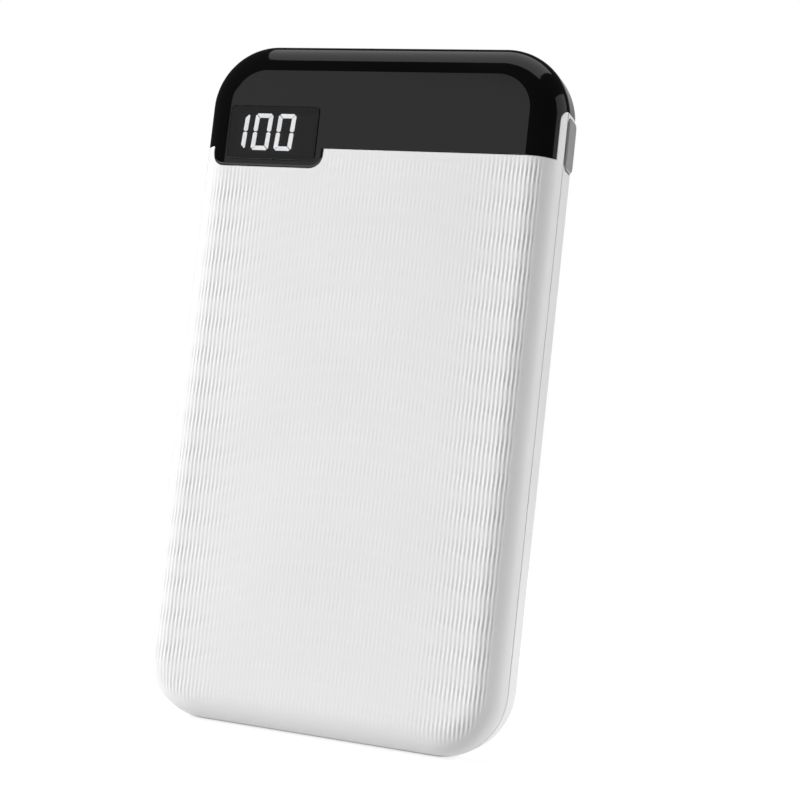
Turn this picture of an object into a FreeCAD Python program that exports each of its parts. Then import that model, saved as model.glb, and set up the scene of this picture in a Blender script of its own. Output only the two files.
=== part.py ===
import FreeCAD, Part
import math
import os
import Sketcher

# Slim power bank. +X is the user's right, the front face looks along -Y, and +Z runs up its
# length to the end with the sockets. The origin is the centre of the foot that it stands on.
# Every length is in millimetres.

SHEET_VALUES = {
    # outside
    "bank_width": 70.0,
    "bank_height": 128.0,
    "bank_depth": 15.8,
    "corner_radius": 12.5,
    "edge_round": 6.0,
    "wall": 1.6,
    "joint_gap": 0.1,
    "parting": 2.8,
    "parting_round": 0.25,
    "cap_height": 20.6,
    "trim_reach": 40.0,
    # display tab of the cap
    "tab_left": 32.0,
    "tab_right": 9.5,
    "tab_drop": 3.8,
    "tab_round": 2.6,
    "tab_rim_round": 0.45,
    # smoked window and what lies behind it
    "window_left": 29.0,
    "window_width": 18.0,
    "window_bottom": 104.9,
    "window_height": 10.2,
    "window_thick": 1.0,
    "window_proud": 0.15,
    "window_lip": 1.2,
    "window_round": 0.8,
    "display_gap": 0.15,
    "display_thick": 2.0,
    "light_round": 0.3,
    "window_fit": 0.05,
    "window_rim": 0.12,
    "display_board_thick": 0.6,
    "display_face_rise": 0.6,
    "display_inset_side": 0.6,
    "display_inset_end": 0.4,
    "digit_height": 7.0,
    "digit_width": 3.55,
    "digit_bar": 0.8,
    "digit_bar_gap": 0.1,
    "digit_corner": 0.35,
    "digit_slant": 3.5,
    "digit_bottom": 106.9,
    "digit_one": -26.75,
    "digit_ten": -24.7,
    "digit_unit": -20.0,
    "digit_thick": 0.12,
    # side button and its tongue
    "tongue_inner": 31.8,
    "tongue_half": 5.0,
    "tongue_top": 116.5,
    "tongue_round": 2.0,
    "button_bottom": 106.4,
    "button_height": 9.3,
    "button_proud": 0.4,
    "button_gap": 0.2,
    "button_round": 1.5,
    "flange_reach": 0.8,
    "flange_thick": 0.8,
    "flange_face": 32.9,
    "button_rim": 0.3,
    "button_travel": 0.35,
    "plunger_round": 0.3,
    "stem_width": 3.4,
    "stem_height": 3.4,
    "stem_length": 0.9,
    "touch_gap": 0.1,
    "switch_deep": 3.6,
    "switch_tall": 6.2,
    "switch_high": 3.6,
    "plunger_wide": 1.7,
    "plunger_tall": 3.0,
    "plunger_length": 2.0,
    "plunger_hidden": 0.9,
    "plunger_fit": 0.1,
    # hooks of the cap
    "hook_wide": 8.0,
    "hook_thick": 0.8,
    "hook_root": 0.3,
    "hook_rise": 2.6,
    "hook_step": 0.6,
    "hook_drop": 2.8,
    # boards
    "board_width": 60.0,
    "board_bottom": 100.6,
    "board_height": 24.0,
    "board_thick": 1.0,
    "board_face": 2.9,
    "board_corner": 5.0,
    "inductor_wide": 7.0,
    "inductor_high": 4.0,
    "inductor_tall": 7.0,
    "inductor_chamfer": 1.2,
    "charge_chip_wide": 5.0,
    "charge_chip_high": 0.9,
    "charge_chip_tall": 5.0,
    "boost_chip_wide": 4.0,
    "boost_chip_high": 1.4,
    "boost_chip_tall": 5.0,
    "bulk_wide": 3.5,
    "bulk_high": 1.9,
    "bulk_tall": 2.8,
    "ceramic_wide": 1.6,
    "ceramic_high": 0.8,
    "ceramic_tall": 0.8,
    "resistor_wide": 1.0,
    "resistor_high": 0.4,
    "resistor_tall": 0.5,
    "screw_side": 26.0,
    "screw_low": 103.6,
    "boss_radius": 2.1,
    "pilot_radius": 0.85,
    "pilot_depth": 3.2,
    "screw_radius": 0.8,
    "screw_length": 3.0,
    "head_radius": 1.5,
    "head_thick": 0.9,
    # sockets
    "socket_top": 127.4,
    "sheet_metal": 0.3,
    "usb_a_place": 16.6,
    "usb_a_wide": 13.2,
    "usb_a_high": 5.7,
    "usb_a_deep": 14.0,
    "usb_a_tongue": 1.8,
    "usb_a_tongue_wide": 11.0,
    "type_c_place": 4.4,
    "type_c_wide": 8.9,
    "type_c_high": 3.2,
    "type_c_deep": 7.4,
    "type_c_tongue": 0.7,
    "type_c_tongue_wide": 6.6,
    "micro_place": 5.0,
    "micro_wide": 7.5,
    "micro_high": 2.7,
    "micro_deep": 5.5,
    "micro_tongue": 0.6,
    "micro_tongue_wide": 5.4,
    "usb_a_bend": 0.5,
    "type_c_bend": 1.4,
    "micro_bend": 0.9,
    "usb_a_tongue_shift": 0.6,
    "type_c_tongue_shift": 0,
    "micro_tongue_shift": 0.2,
    "usb_a_contacts": 4,
    "type_c_contacts": 12,
    "micro_contacts": 5,
    "usb_a_pitch": 2.4,
    "type_c_pitch": 0.5,
    "micro_pitch": 0.65,
    "usb_a_strip": 1.2,
    "type_c_strip": 0.26,
    "micro_strip": 0.36,
    "contact_thick": 0.12,
    "socket_fit": 0.05,
    "port_gap": 0.2,
    "insert_deep": 3.0,
    "tongue_recess": 0.8,
    # battery
    "cell_width": 58.0,
    "cell_height": 86.0,
    "cell_thick": 5.4,
    "cell_bottom": 9.8,
    "cell_round": 1.2,
    "tape_thick": 0.5,
    "pad_thick": 0.5,
    "pad_width": 46.0,
    "pad_height": 60.0,
    "tab_metal": 0.2,
    "tab_wide": 4.0,
    "tab_rise": 2.2,
    "tab_apart": 9.0,
    "guard_width": 50.0,
    "guard_depth": 9.0,
    "guard_thick": 0.8,
    "paper_width": 36.0,
    "paper_thick": 0.2,
    "pad_lift": 12.0,
    "lead_radius": 0.5,
    "lead_bend": 3.1,
    "lead_rise": 7.0,
    "lead_start": -4.0,
    "red_lead_place": 21.0,
    "black_lead_place": 23.4,
}

doc = FreeCAD.newDocument("power_bank")
sheet = doc.addObject("Spreadsheet::Sheet", "sizes")
for row, (alias, value) in enumerate(SHEET_VALUES.items(), start=1):
    sheet.set(f"A{row}", alias)
    sheet.set(f"B{row}", str(value))
    sheet.setAlias(f"B{row}", alias)
doc.recompute()

finished = []

# Levels that many pieces share, as expressions on the sheet.
CAP_LINE = "sizes.bank_height - sizes.cap_height"
FACE_Y = "sizes.bank_depth / 2"
SIDE_X = "sizes.bank_width / 2"
INNER_Y = "sizes.bank_depth / 2 - sizes.wall"
BOARD_BACK = "sizes.board_face + sizes.board_thick"
BOARD_TOP = "sizes.board_bottom + sizes.board_height"
BUTTON_MIDDLE = "sizes.button_bottom + sizes.button_height / 2"
CELL_TOP = "sizes.cell_bottom + sizes.cell_height"
TAB_BOTTOM = "sizes.bank_height - sizes.cap_height - sizes.tab_drop"


def number(text):
    """The value of an expression on the sheet."""
    result = sheet.evalExpression(text.replace("sizes.", ""))
    return float(getattr(result, "Value", result))


def finish_piece(item, label):
    """Names a finished sub-part and puts it on the list to be written."""
    item.Label = label
    finished.append(item)
    return item


# ---------------------------------------------------------------- sketches and features


def new_body(name):
    return doc.addObject("PartDesign::Body", name + "_body")


def new_sketch(body, name, plane, offset="0"):
    """A sketch on one of the body's origin planes, moved along that plane's normal."""
    sketch = body.newObject("Sketcher::SketchObject", name)
    for feature in body.Origin.OriginFeatures:
        if feature.Role == plane:
            sketch.AttachmentSupport = [(feature, "")]
    sketch.MapMode = "FlatFace"
    sketch.setExpression("AttachmentOffset.Base.z", offset)
    return sketch


def bind(sketch, constraint, text):
    """Adds a sketch constraint whose value is an expression on the sheet."""
    index = sketch.addConstraint(constraint)
    sketch.setExpression(f"Constraints[{index}]", text)


def draw_polygon(sketch, corners):
    """A closed outline whose corners are pairs of expressions."""
    points = [FreeCAD.Vector(number(across), number(along), 0) for across, along in corners]
    count = len(points)
    first = sketch.GeometryCount
    for step in range(count):
        sketch.addGeometry(Part.LineSegment(points[step], points[(step + 1) % count]))
    for step in range(count):
        following = first + (step + 1) % count
        sketch.addConstraint(Sketcher.Constraint("Coincident", first + step, 2, following, 1))
    for step, (across, along) in enumerate(corners):
        line = first + step
        bind(sketch, Sketcher.Constraint("DistanceX", -1, 1, line, 1, number(across)), across)
        bind(sketch, Sketcher.Constraint("DistanceY", -1, 1, line, 1, number(along)), along)


def draw_rectangle(sketch, left, right, bottom, top):
    draw_polygon(sketch, [(left, bottom), (right, bottom), (right, top), (left, top)])


def draw_rounded(sketch, left, right, bottom, top, radius):
    """A rectangle whose four corners are tangent arcs of one radius."""
    low_x, high_x = number(left), number(right)
    low_y, high_y = number(bottom), number(top)
    bend = number(radius)
    normal = FreeCAD.Vector(0, 0, 1)
    corners = [
        (high_x - bend, low_y + bend, -math.pi / 2),
        (high_x - bend, high_y - bend, 0),
        (low_x + bend, high_y - bend, math.pi / 2),
        (low_x + bend, low_y + bend, math.pi),
    ]
    arcs = []
    for across, along, turn in corners:
        circle = Part.Circle(FreeCAD.Vector(across, along, 0), normal, bend)
        arcs.append(Part.ArcOfCircle(circle, turn, turn + math.pi / 2))
    for step in range(4):
        sketch.addGeometry(Part.LineSegment(arcs[step - 1].EndPoint, arcs[step].StartPoint))
        sketch.addGeometry(arcs[step])
    for step in range(8):
        following = (step + 1) % 8
        sketch.addConstraint(Sketcher.Constraint("Tangent", step, 2, following, 1))
    for line, direction in ((0, "Horizontal"), (2, "Vertical"), (4, "Horizontal"), (6, "Vertical")):
        sketch.addConstraint(Sketcher.Constraint(direction, line))
    for arc in (3, 5, 7):
        sketch.addConstraint(Sketcher.Constraint("Equal", 1, arc))
    bind(sketch, Sketcher.Constraint("Radius", 1, bend), radius)
    for line, direction, text in (
        (0, "DistanceY", bottom),
        (2, "DistanceX", right),
        (4, "DistanceY", top),
        (6, "DistanceX", left),
    ):
        bind(sketch, Sketcher.Constraint(direction, -1, 1, line, 1, number(text)), text)


def draw_circle(sketch, across, along, radius):
    centre = FreeCAD.Vector(number(across), number(along), 0)
    circle = sketch.addGeometry(Part.Circle(centre, FreeCAD.Vector(0, 0, 1), number(radius)))
    bind(sketch, Sketcher.Constraint("Radius", circle, number(radius)), radius)
    bind(sketch, Sketcher.Constraint("DistanceX", -1, 1, circle, 3, number(across)), across)
    bind(sketch, Sketcher.Constraint("DistanceY", -1, 1, circle, 3, number(along)), along)


def add_pad(body, name, sketch, length, reverse=False, both=False):
    pad = body.newObject("PartDesign::Pad", name)
    pad.Profile = sketch
    pad.setExpression("Length", length)
    pad.Reversed = reverse
    pad.SideType = "Symmetric" if both else "One side"
    doc.recompute()
    return pad


def add_pocket(body, name, sketch, length, reverse=False, both=False):
    """A pocket of a stated depth, which must take something away."""
    before = body.Shape.Volume
    pocket = body.newObject("PartDesign::Pocket", name)
    pocket.Profile = sketch
    pocket.setExpression("Length", length)
    pocket.Reversed = reverse
    pocket.SideType = "Symmetric" if both else "One side"
    doc.recompute()
    if body.Shape.Volume >= before:
        raise RuntimeError(f"{name} cuts nothing")
    return pocket


def round_edges(body, name, radius, wanted):
    """Fillets the edges of the body's tip that pass the test."""
    tip = body.Tip
    names = [f"Edge{i}" for i, edge in enumerate(tip.Shape.Edges, start=1) if wanted(edge)]
    if not names:
        raise RuntimeError(f"{name} finds no edge")
    fillet = body.newObject("PartDesign::Fillet", name)
    fillet.Base = (tip, names)
    fillet.setExpression("Radius", radius)
    doc.recompute()
    return fillet


def all_near(values, target):
    return all(abs(value - target) < 0.01 for value in values)


def lies_at(edge, **places):
    """True where every end of the edge has the stated x, y or z."""
    ends = [vertex.Point for vertex in edge.Vertexes]
    return all(all_near([getattr(end, axis) for end in ends], at) for axis, at in places.items())


# ---------------------------------------------------------------- plain solids


def new_box(name, size, corner):
    """A Part box: its size and its lowest corner are expressions, in X, Y, Z order."""
    item = doc.addObject("Part::Box", name)
    for side, text in zip(("Length", "Width", "Height"), size):
        item.setExpression(side, text)
    for axis, text in zip("xyz", corner):
        item.setExpression(f"Placement.Base.{axis}", text)
    return item


def new_rod(name, radius, length, end, direction):
    """A Part cylinder from one end along +X, +Y or +Z."""
    turn = {
        "x": FreeCAD.Rotation(FreeCAD.Vector(0, 1, 0), 90),
        "y": FreeCAD.Rotation(FreeCAD.Vector(1, 0, 0), -90),
        "z": FreeCAD.Rotation(),
    }[direction]
    item = doc.addObject("Part::Cylinder", name)
    item.Placement = FreeCAD.Placement(FreeCAD.Vector(), turn)
    item.setExpression("Radius", radius)
    item.setExpression("Height", length)
    for axis, text in zip("xyz", end):
        item.setExpression(f"Placement.Base.{axis}", text)
    return item


def join(name, items):
    item = doc.addObject("Part::MultiFuse", name)
    item.Shapes = items
    return item


def take_away(name, base, tool):
    item = doc.addObject("Part::Cut", name)
    item.Base = base
    item.Tool = tool
    return item


def group(name, items):
    """Separate solids that make one node, such as the contacts of a socket."""
    item = doc.addObject("Part::Compound", name)
    item.Links = items
    return item


def rounded_box(name, size, corner, radius, wanted=None):
    """A Part box with the chosen edges rounded, all of them when none are named."""
    base = new_box(name + "_block", size, corner)
    doc.recompute()
    item = doc.addObject("Part::Fillet", name)
    item.Base = base
    bend = number(radius)
    edges = [i for i, edge in enumerate(base.Shape.Edges, start=1) if wanted is None or wanted(edge)]
    item.Edges = [(i, bend, bend) for i in edges]
    return item


# ---------------------------------------------------------------- casing


def rounded_outline(sketch, inset):
    """Outline of the bank seen from the front, moved inwards by an inset."""
    draw_rounded(
        sketch,
        f"-({SIDE_X} - {inset})",
        f"{SIDE_X} - {inset}",
        inset,
        f"sizes.bank_height - {inset}",
        f"sizes.corner_radius - {inset}",
    )


def rounded_slab(name, inset):
    """The bank's outer form, or its cavity, as one solid with all its edges rounded."""
    body = new_body(name)
    outline = new_sketch(body, name + "_outline", "XZ_Plane")
    rounded_outline(outline, inset)
    add_pad(body, name + "_slab", outline, f"sizes.bank_depth - 2 * {inset}", both=True)
    half_depth = number(f"{FACE_Y} - {inset}")
    round_edges(
        body,
        name + "_edges",
        f"sizes.edge_round - {inset}",
        lambda edge: lies_at(edge, y=half_depth) or lies_at(edge, y=-half_depth),
    )
    return body


def hollow_slab(name):
    """The whole bank as one closed hollow shell, from which each cover is trimmed."""
    cavity = rounded_slab(name + "_cavity", "sizes.wall")
    body = rounded_slab(name, "0")
    hollow = body.newObject("PartDesign::Boolean", name + "_hollow")
    hollow.Type = "Cut"
    hollow.Group = [cavity]
    doc.recompute()
    return body


def front_notch(gap):
    """Left, right and lower edge of the display tab, grown by a gap."""
    return (
        f"-(sizes.tab_left + {gap})",
        f"-(sizes.tab_right - {gap})",
        f"{TAB_BOTTOM} - {gap}",
    )


def trim_to_half(body, name, front):
    """Keeps what lies in front of the parting plane, or behind it."""
    plane = "sizes.parting + sizes.joint_gap / 2" if front else "sizes.parting - sizes.joint_gap / 2"
    sketch = new_sketch(body, name + "_parting", "XZ_Plane", plane)
    draw_rectangle(
        sketch,
        "-sizes.trim_reach",
        "sizes.trim_reach",
        "-sizes.wall",
        "sizes.bank_height + sizes.wall",
    )
    add_pocket(body, name + "_half", sketch, "sizes.bank_depth", reverse=not front)


def trim_cover_top(body, name, with_notch):
    """Takes away what the cap covers, all but the side wall that carries the button."""
    left, right, low = front_notch("sizes.joint_gap")
    end = f"{CAP_LINE} - sizes.joint_gap"
    top = "sizes.bank_height + sizes.wall"
    corners = [("-sizes.trim_reach", end)]
    if with_notch:
        corners += [(left, end), (left, low), (right, low), (right, end)]
    corners += [("sizes.tongue_inner", end), ("sizes.tongue_inner", top), ("-sizes.trim_reach", top)]
    sketch = new_sketch(body, name + "_top_outline", "XZ_Plane")
    draw_polygon(sketch, corners)
    add_pocket(body, name + "_top", sketch, "2 * sizes.bank_depth", both=True)


def trim_cover_side(body, name, side):
    """Shapes the tongue beside the button, on the front (-1) or back (1) of the middle plane."""
    end = f"{CAP_LINE} - sizes.joint_gap"
    sketch = new_sketch(body, name + "_tongue_outline", "YZ_Plane", "sizes.tongue_inner")
    draw_polygon(
        sketch,
        [
            (f"{side} * sizes.bank_depth", end),
            (f"{side} * sizes.tongue_half", end),
            (f"{side} * sizes.tongue_half", "sizes.tongue_top"),
            (f"{-side} * sizes.bank_depth", "sizes.tongue_top"),
            (f"{-side} * sizes.bank_depth", "sizes.bank_height + sizes.wall"),
            (f"{side} * sizes.bank_depth", "sizes.bank_height + sizes.wall"),
        ],
    )
    add_pocket(body, name + "_tongue", sketch, "sizes.bank_depth", reverse=True)
    top = number("sizes.tongue_top")
    round_edges(
        body,
        name + "_tongue_corner",
        "sizes.tongue_round",
        lambda edge: is_along(edge, "x") and ends_within(edge, "z", top, 0.01)
        and ends_within(edge, "y", side * number("sizes.tongue_half"), 0.01),
    )


def is_along(edge, axis):
    ends = [vertex.Point for vertex in edge.Vertexes]
    if len(ends) != 2 or edge.Curve.TypeId != "Part::GeomLine":
        return False
    return abs(getattr((ends[1] - ends[0]).normalize(), axis)) > 0.99


def ends_within(edge, axis, target, reach):
    return all(abs(getattr(vertex.Point, axis) - target) < reach for vertex in edge.Vertexes)


def soften_parting(body, name, side, ceiling):
    """Rounds the outer rim where the covers meet, up to a ceiling, on the front (-1) or the back (1) cover."""
    plane = -number("sizes.parting") + side * number("sizes.joint_gap / 2")
    deep = abs(plane) - number(f"{FACE_Y} - sizes.edge_round")
    radius = number("sizes.edge_round")
    drawn_in = radius - math.sqrt(radius**2 - max(deep, 0) ** 2)
    corner = number("sizes.corner_radius")
    corner_x = number(f"{SIDE_X} - sizes.corner_radius")

    def on_outline(edge):
        for vertex in edge.Vertexes:
            beyond_x = max(abs(vertex.Point.x) - corner_x, 0)
            beyond_z = max(corner - vertex.Point.z, 0)
            if abs(math.hypot(beyond_x, beyond_z) - corner + drawn_in) > 0.01 or vertex.Point.z > ceiling:
                return False
        return lies_at(edge, y=plane)

    round_edges(body, name, "sizes.parting_round", on_outline)


def make_front_cover():
    body = hollow_slab("front_cover")
    trim_to_half(body, "front_cover", front=True)
    trim_cover_top(body, "front_cover", with_notch=True)
    trim_cover_side(body, "front_cover", -1)
    low = number(TAB_BOTTOM) - number("sizes.joint_gap")
    round_edges(
        body,
        "front_cover_notch_corners",
        "sizes.tab_round",
        lambda edge: is_along(edge, "y") and ends_within(edge, "z", low, 0.01),
    )
    soften_parting(body, "front_cover_rim", -1, number("sizes.bank_height"))
    finish_piece(body, "front_cover")


def make_back_cover():
    body = hollow_slab("back_cover")
    trim_to_half(body, "back_cover", front=False)
    trim_cover_top(body, "back_cover", with_notch=False)
    trim_cover_side(body, "back_cover", 1)
    slot = new_sketch(body, "button_slot_outline", "YZ_Plane", "sizes.flange_face - sizes.wall")
    draw_rounded(
        slot,
        "-sizes.parting",
        "sizes.parting",
        "sizes.button_bottom - sizes.button_gap",
        "sizes.button_bottom + sizes.button_height + sizes.button_gap",
        "sizes.button_round",
    )
    add_pocket(body, "button_slot", slot, "sizes.bank_depth", reverse=True)
    soften_parting(body, "back_cover_rim", 1, number(CAP_LINE))
    for label, across, along in BOARD_SCREWS:
        boss = new_sketch(body, "boss_" + label, "XZ_Plane", f"-({BOARD_BACK})")
        draw_circle(boss, across, along, "sizes.boss_radius")
        rise = f"{FACE_Y} - sizes.wall / 2 - ({BOARD_BACK})"
        add_pad(body, "boss_pad_" + label, boss, rise, reverse=True)
        pilot = new_sketch(body, "pilot_" + label, "XZ_Plane", f"-({BOARD_BACK})")
        draw_circle(pilot, across, along, "sizes.pilot_radius")
        add_pocket(body, "pilot_hole_" + label, pilot, "sizes.pilot_depth")
    finish_piece(body, "back_cover")


def make_top_cap():
    body = hollow_slab("top_cap")
    left, right, low = front_notch("0")
    below = new_sketch(body, "cap_lower_outline", "XZ_Plane")
    draw_polygon(
        below,
        [
            ("-sizes.trim_reach", CAP_LINE),
            (left, CAP_LINE),
            (left, low),
            (right, low),
            (right, CAP_LINE),
            ("sizes.tongue_inner", CAP_LINE),
            ("sizes.tongue_inner", "-sizes.wall"),
            ("-sizes.trim_reach", "-sizes.wall"),
        ],
    )
    add_pocket(body, "cap_lower", below, "2 * sizes.bank_depth", both=True)
    beside = new_sketch(body, "cap_side_outline", "YZ_Plane", "sizes.tongue_inner")
    half = "sizes.tongue_half + sizes.joint_gap"
    top = "sizes.tongue_top + sizes.joint_gap"
    draw_polygon(
        beside,
        [
            ("-sizes.bank_depth", CAP_LINE),
            (f"-({half})", CAP_LINE),
            (f"-({half})", top),
            (half, top),
            (half, CAP_LINE),
            ("sizes.bank_depth", CAP_LINE),
            ("sizes.bank_depth", "-sizes.wall"),
            ("-sizes.bank_depth", "-sizes.wall"),
        ],
    )
    add_pocket(body, "cap_side", beside, "sizes.bank_depth", reverse=True)
    roof = number(top)
    round_edges(
        body,
        "cap_side_corners",
        "sizes.tongue_round",
        lambda edge: is_along(edge, "x") and ends_within(edge, "z", roof, 0.01),
    )
    inside = new_sketch(body, "tab_back_outline", "XZ_Plane", f"{INNER_Y} - sizes.wall")
    draw_rectangle(inside, f"{left} - sizes.wall", f"{right} + sizes.wall", f"{low} - sizes.wall", CAP_LINE)
    add_pocket(body, "tab_back", inside, "2 * sizes.bank_depth")
    floor = number(low)
    round_edges(
        body,
        "tab_corners",
        "sizes.tab_round",
        lambda edge: is_along(edge, "y") and ends_within(edge, "z", floor, 0.01),
    )
    round_tab_rim(body)
    cut_ports(body)
    cut_window(body)
    for label, side, place in SNAP_HOOKS:
        add_snap_hook(body, label, side, place)
    finish_piece(body, "top_cap")


def on_outer_face(edge):
    """True where both ends of the edge lie on the casing's outer rounded form."""
    flat_x = number(f"{SIDE_X} - sizes.edge_round")
    flat_y = number(f"{FACE_Y} - sizes.edge_round")
    for vertex in edge.Vertexes:
        beyond_x = max(abs(vertex.Point.x) - flat_x, 0)
        beyond_y = max(abs(vertex.Point.y) - flat_y, 0)
        if abs(math.hypot(beyond_x, beyond_y) - number("sizes.edge_round")) > 0.01:
            return False
    return True


def round_tab_rim(body):
    """Softens the tab's outer edge, from the cap's lower edge round to the left side."""
    line = number(CAP_LINE)
    right = -number("sizes.tab_right")
    round_edges(
        body,
        "tab_rim",
        "sizes.tab_rim_round",
        lambda edge: on_outer_face(edge)
        and all(vertex.Point.z < line + 0.01 for vertex in edge.Vertexes)
        and all(vertex.Point.y < 0 and vertex.Point.x < right + 0.01 for vertex in edge.Vertexes)
        and min(vertex.Point.z for vertex in edge.Vertexes) < line - 0.01,
    )


def cut_ports(body):
    """Openings in the cap's end, a little larger than the sockets' shells."""
    for label, place, kind in SOCKETS:
        sketch = new_sketch(body, label + "_port_outline", "XY_Plane", CAP_LINE)
        draw_rounded(
            sketch,
            f"{place} - sizes.{kind}_wide / 2 - sizes.port_gap",
            f"{place} + sizes.{kind}_wide / 2 + sizes.port_gap",
            f"sizes.board_face - sizes.{kind}_high - sizes.port_gap",
            "sizes.board_face + sizes.port_gap",
            f"sizes.{kind}_bend + sizes.port_gap",
        )
        add_pocket(body, label + "_port", sketch, "sizes.bank_height", reverse=True)


def cut_window(body):
    """Seat of the smoked window, and the smaller opening behind it."""
    right = "-sizes.window_left + sizes.window_width"
    top = "sizes.window_bottom + sizes.window_height"
    seat = new_sketch(body, "window_seat_outline", "XZ_Plane", FACE_Y)
    draw_rounded(
        seat,
        "-sizes.window_left - sizes.window_fit",
        f"{right} + sizes.window_fit",
        "sizes.window_bottom - sizes.window_fit",
        f"{top} + sizes.window_fit",
        "sizes.window_round + sizes.window_fit",
    )
    add_pocket(body, "window_seat", seat, "sizes.window_thick - sizes.window_proud")
    light = new_sketch(body, "window_light_outline", "XZ_Plane", FACE_Y)
    draw_rounded(
        light,
        "-sizes.window_left + sizes.window_lip",
        f"{right} - sizes.window_lip",
        "sizes.window_bottom + sizes.window_lip",
        f"{top} - sizes.window_lip",
        "sizes.light_round",
    )
    add_pocket(body, "window_light", light, "2 * sizes.wall")


def add_snap_hook(body, label, side, place):
    """A hook on the cap's inner wall that reaches down inside a cover."""
    sketch = new_sketch(body, label + "_outline", "YZ_Plane", place)
    root = f"{side} * ({INNER_Y} + sizes.hook_root)"
    face = f"{side} * ({INNER_Y} - sizes.joint_gap)"
    inner = f"{side} * ({INNER_Y} - sizes.joint_gap - sizes.hook_thick)"
    top = f"{CAP_LINE} + sizes.hook_rise"
    foot = f"{CAP_LINE} - sizes.hook_drop"
    step = f"{CAP_LINE} + sizes.hook_step"
    draw_polygon(
        sketch,
        [(root, top), (inner, top), (inner, foot), (face, foot), (face, step), (root, step)],
    )
    add_pad(body, label, sketch, "sizes.hook_wide")


def make_window():
    body = new_body("display_window")
    outline = new_sketch(body, "display_window_outline", "XZ_Plane", f"{FACE_Y} + sizes.window_proud")
    draw_rounded(
        outline,
        "-sizes.window_left",
        "-sizes.window_left + sizes.window_width",
        "sizes.window_bottom",
        "sizes.window_bottom + sizes.window_height",
        "sizes.window_round",
    )
    add_pad(body, "display_window_plate", outline, "sizes.window_thick", reverse=True)
    face = -number(f"{FACE_Y} + sizes.window_proud")
    round_edges(
        body,
        "display_window_rim",
        "sizes.window_rim",
        lambda edge: lies_at(edge, y=face),
    )
    finish_piece(body, "display_window")


def make_display():
    """Light guide with its raised face in the window, its board and the lit bars."""
    middle = "-sizes.window_left + sizes.window_width / 2"
    centre = "sizes.window_bottom + sizes.window_height / 2"
    back = f"-({INNER_Y}) + sizes.display_gap"
    wide = "(sizes.window_width - 2 * sizes.display_inset_side)"
    tall = "(sizes.window_height - 2 * sizes.display_inset_end)"
    left = f"{middle} - {wide} / 2"
    low = f"{centre} - {tall} / 2"
    flange = new_box("display_flange", (wide, "sizes.display_thick", tall), (left, back, low))
    inset = "(sizes.window_lip + sizes.joint_gap)"
    face = new_box(
        "display_face",
        (
            f"sizes.window_width - 2 * {inset}",
            "sizes.display_gap + sizes.display_face_rise",
            f"sizes.window_height - 2 * {inset}",
        ),
        (
            f"-sizes.window_left + {inset}",
            f"-({INNER_Y}) - sizes.display_face_rise",
            f"sizes.window_bottom + {inset}",
        ),
    )
    finish_piece(join("display_frame_solid", [flange, face]), "display_frame")
    board = new_box(
        "display_board_solid",
        (wide, "sizes.display_board_thick", tall),
        (left, f"{back} + sizes.display_thick", low),
    )
    finish_piece(board, "display_board")
    finish_piece(lit_bars(), "display_digits")


def lit_bars():
    """The bars of a seven-segment 100: the slant leans the upright bars to the right."""
    height = number("sizes.digit_height")
    half = height / 2
    bar = number("sizes.digit_bar")
    gap = number("sizes.digit_bar_gap")
    corner = number("sizes.digit_corner")
    wide = number("sizes.digit_width")
    slant = math.tan(math.radians(number("sizes.digit_slant")))
    rest = number("sizes.digit_bottom")
    back = -number(f"{INNER_Y} + sizes.display_face_rise")
    thick = number("sizes.digit_thick")

    def upright(outer, end, inwards, upwards):
        """An upright bar from the digit's end to its waist. inwards and upwards are 1 or -1."""
        waist = half + upwards * gap
        return [
            (outer, end - upwards * (gap + corner)),
            (outer + inwards * corner / 2, end - upwards * (gap + corner / 2)),
            (outer + inwards * bar, end - upwards * (gap + bar)),
            (outer + inwards * bar, waist + upwards * bar / 4),
            (outer + inwards * bar * 3 / 4, waist),
            (outer + inwards * bar / 4, waist),
            (outer, waist + upwards * bar / 4),
        ]

    def level(left, end, upwards):
        """The level bar at the digit's top or bottom, mitred to the uprights."""
        right = left + wide
        return [
            (left + gap + corner, end),
            (right - gap - corner, end),
            (right - gap - corner / 2, end - upwards * corner / 2),
            (right - gap - bar, end - upwards * bar),
            (left + gap + bar, end - upwards * bar),
            (left + gap + corner / 2, end - upwards * corner / 2),
        ]

    outlines = []
    for end, upwards in ((0, -1), (height, 1)):
        outlines.append(upright(number("sizes.digit_one") + bar, end, -1, upwards))
        for place in ("sizes.digit_ten", "sizes.digit_unit"):
            left = number(place)
            outlines.append(upright(left, end, 1, upwards))
            outlines.append(upright(left + wide, end, -1, upwards))
            outlines.append(level(left, end, upwards))
    solids = []
    for outline in outlines:
        points = [FreeCAD.Vector(x + slant * z, back, rest + z) for x, z in outline]
        face = Part.Face(Part.makePolygon(points + points[:1]))
        solids.append(face.extrude(FreeCAD.Vector(0, -thick, 0)))
    bars = doc.addObject("Part::Feature", "display_digits_solid")
    bars.Shape = Part.makeCompound(solids)
    return bars


# ---------------------------------------------------------------- button and switch


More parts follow.
